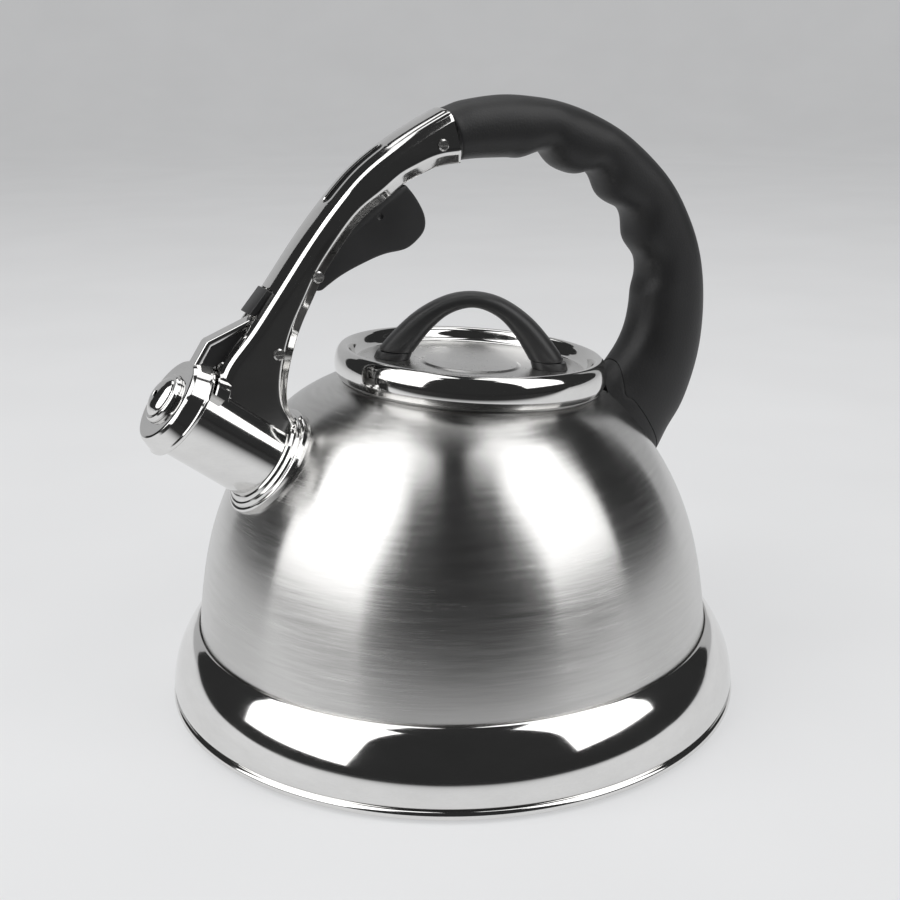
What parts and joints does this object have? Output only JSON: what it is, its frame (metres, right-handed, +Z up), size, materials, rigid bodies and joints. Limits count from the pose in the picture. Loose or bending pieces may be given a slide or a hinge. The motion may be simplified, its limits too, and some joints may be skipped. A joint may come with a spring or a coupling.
{
  "type": "stovetop whistling kettle",
  "caption": "Domed steel stovetop kettle with arched grooved handle, trigger-lifted whistle cap on a short spout and a lift-off lid with an arch handle.",
  "frame": {"origin": "centre of the flat underside, on the surface it stands on", "axes": "+Z up, -X towards the spout, +X towards the handle foot, +Y to the left of someone looking along the spout"},
  "size_m": [0.2343, 0.2242, 0.2278],
  "materials": {
    "brushed_steel": "fine horizontal brushing",
    "polished_steel": "mirror polished",
    "satin_steel": "satin",
    "screw_steel": "turned",
    "aluminium": "plain",
    "black_plastic": "satin black",
    "grip_plastic": "fine grained black"
  },
  "bodies": {
    "body": {"dome_shell": "brushed_steel", "base_skirt": "polished_steel", "base_cover": "satin_steel", "base_core": "aluminium", "body_floor": "satin_steel", "neck_collar": "satin_steel", "spout_flange": "polished_steel", "spout_tube": "polished_steel", "handle_shell": "polished_steel", "shell_inlay": "black_plastic", "grip": "grip_plastic", "rear_foot_pad": "grip_plastic", "rear_bracket": "satin_steel", "rear_screw": "screw_steel", "front_bracket": "satin_steel", "hinge_bracket": "polished_steel", "hinge_pin": "screw_steel", "trigger_pin": "screw_steel", "shell_rivets": "screw_steel", "trigger_spring": "screw_steel"},
    "trigger": {"trigger": "black_plastic"},
    "cap": {"whistle_cap": "polished_steel", "whistle_front": "polished_steel", "whistle_rear": "satin_steel", "lever_strip": "polished_steel", "cap_lever": "black_plastic"},
    "lid": {"lid_shell": "polished_steel", "lid_plug": "satin_steel", "lid_handle": "grip_plastic", "lid_handle_feet": "black_plastic", "lid_screws": "screw_steel", "lid_washers": "screw_steel"}
  },
  "joints": [
    {"name": "trigger_pull", "type": "hinge", "parent": "body", "child": "trigger", "pos_m": [-0.056, 0, 0.1686], "axis": [0, 1, 0], "range_deg": [-16, 0], "stiffness_Nm_per_rad": 0.02, "springref_deg": 11.46},
    {"name": "cap_flip", "type": "hinge", "parent": "body", "child": "cap", "pos_m": [-0.0902, 0, 0.139], "axis": [0, 1, 0], "range_deg": [0, 26]},
    {"name": "lid_lift", "type": "slide", "parent": "body", "child": "lid", "axis": [0.0785, 0, 0.9969], "range_m": [0, 0.022]}
  ],
  "couplings": [
    {"joint": "cap_flip", "follows": "trigger_pull", "ratio": -1.6}
  ]
}
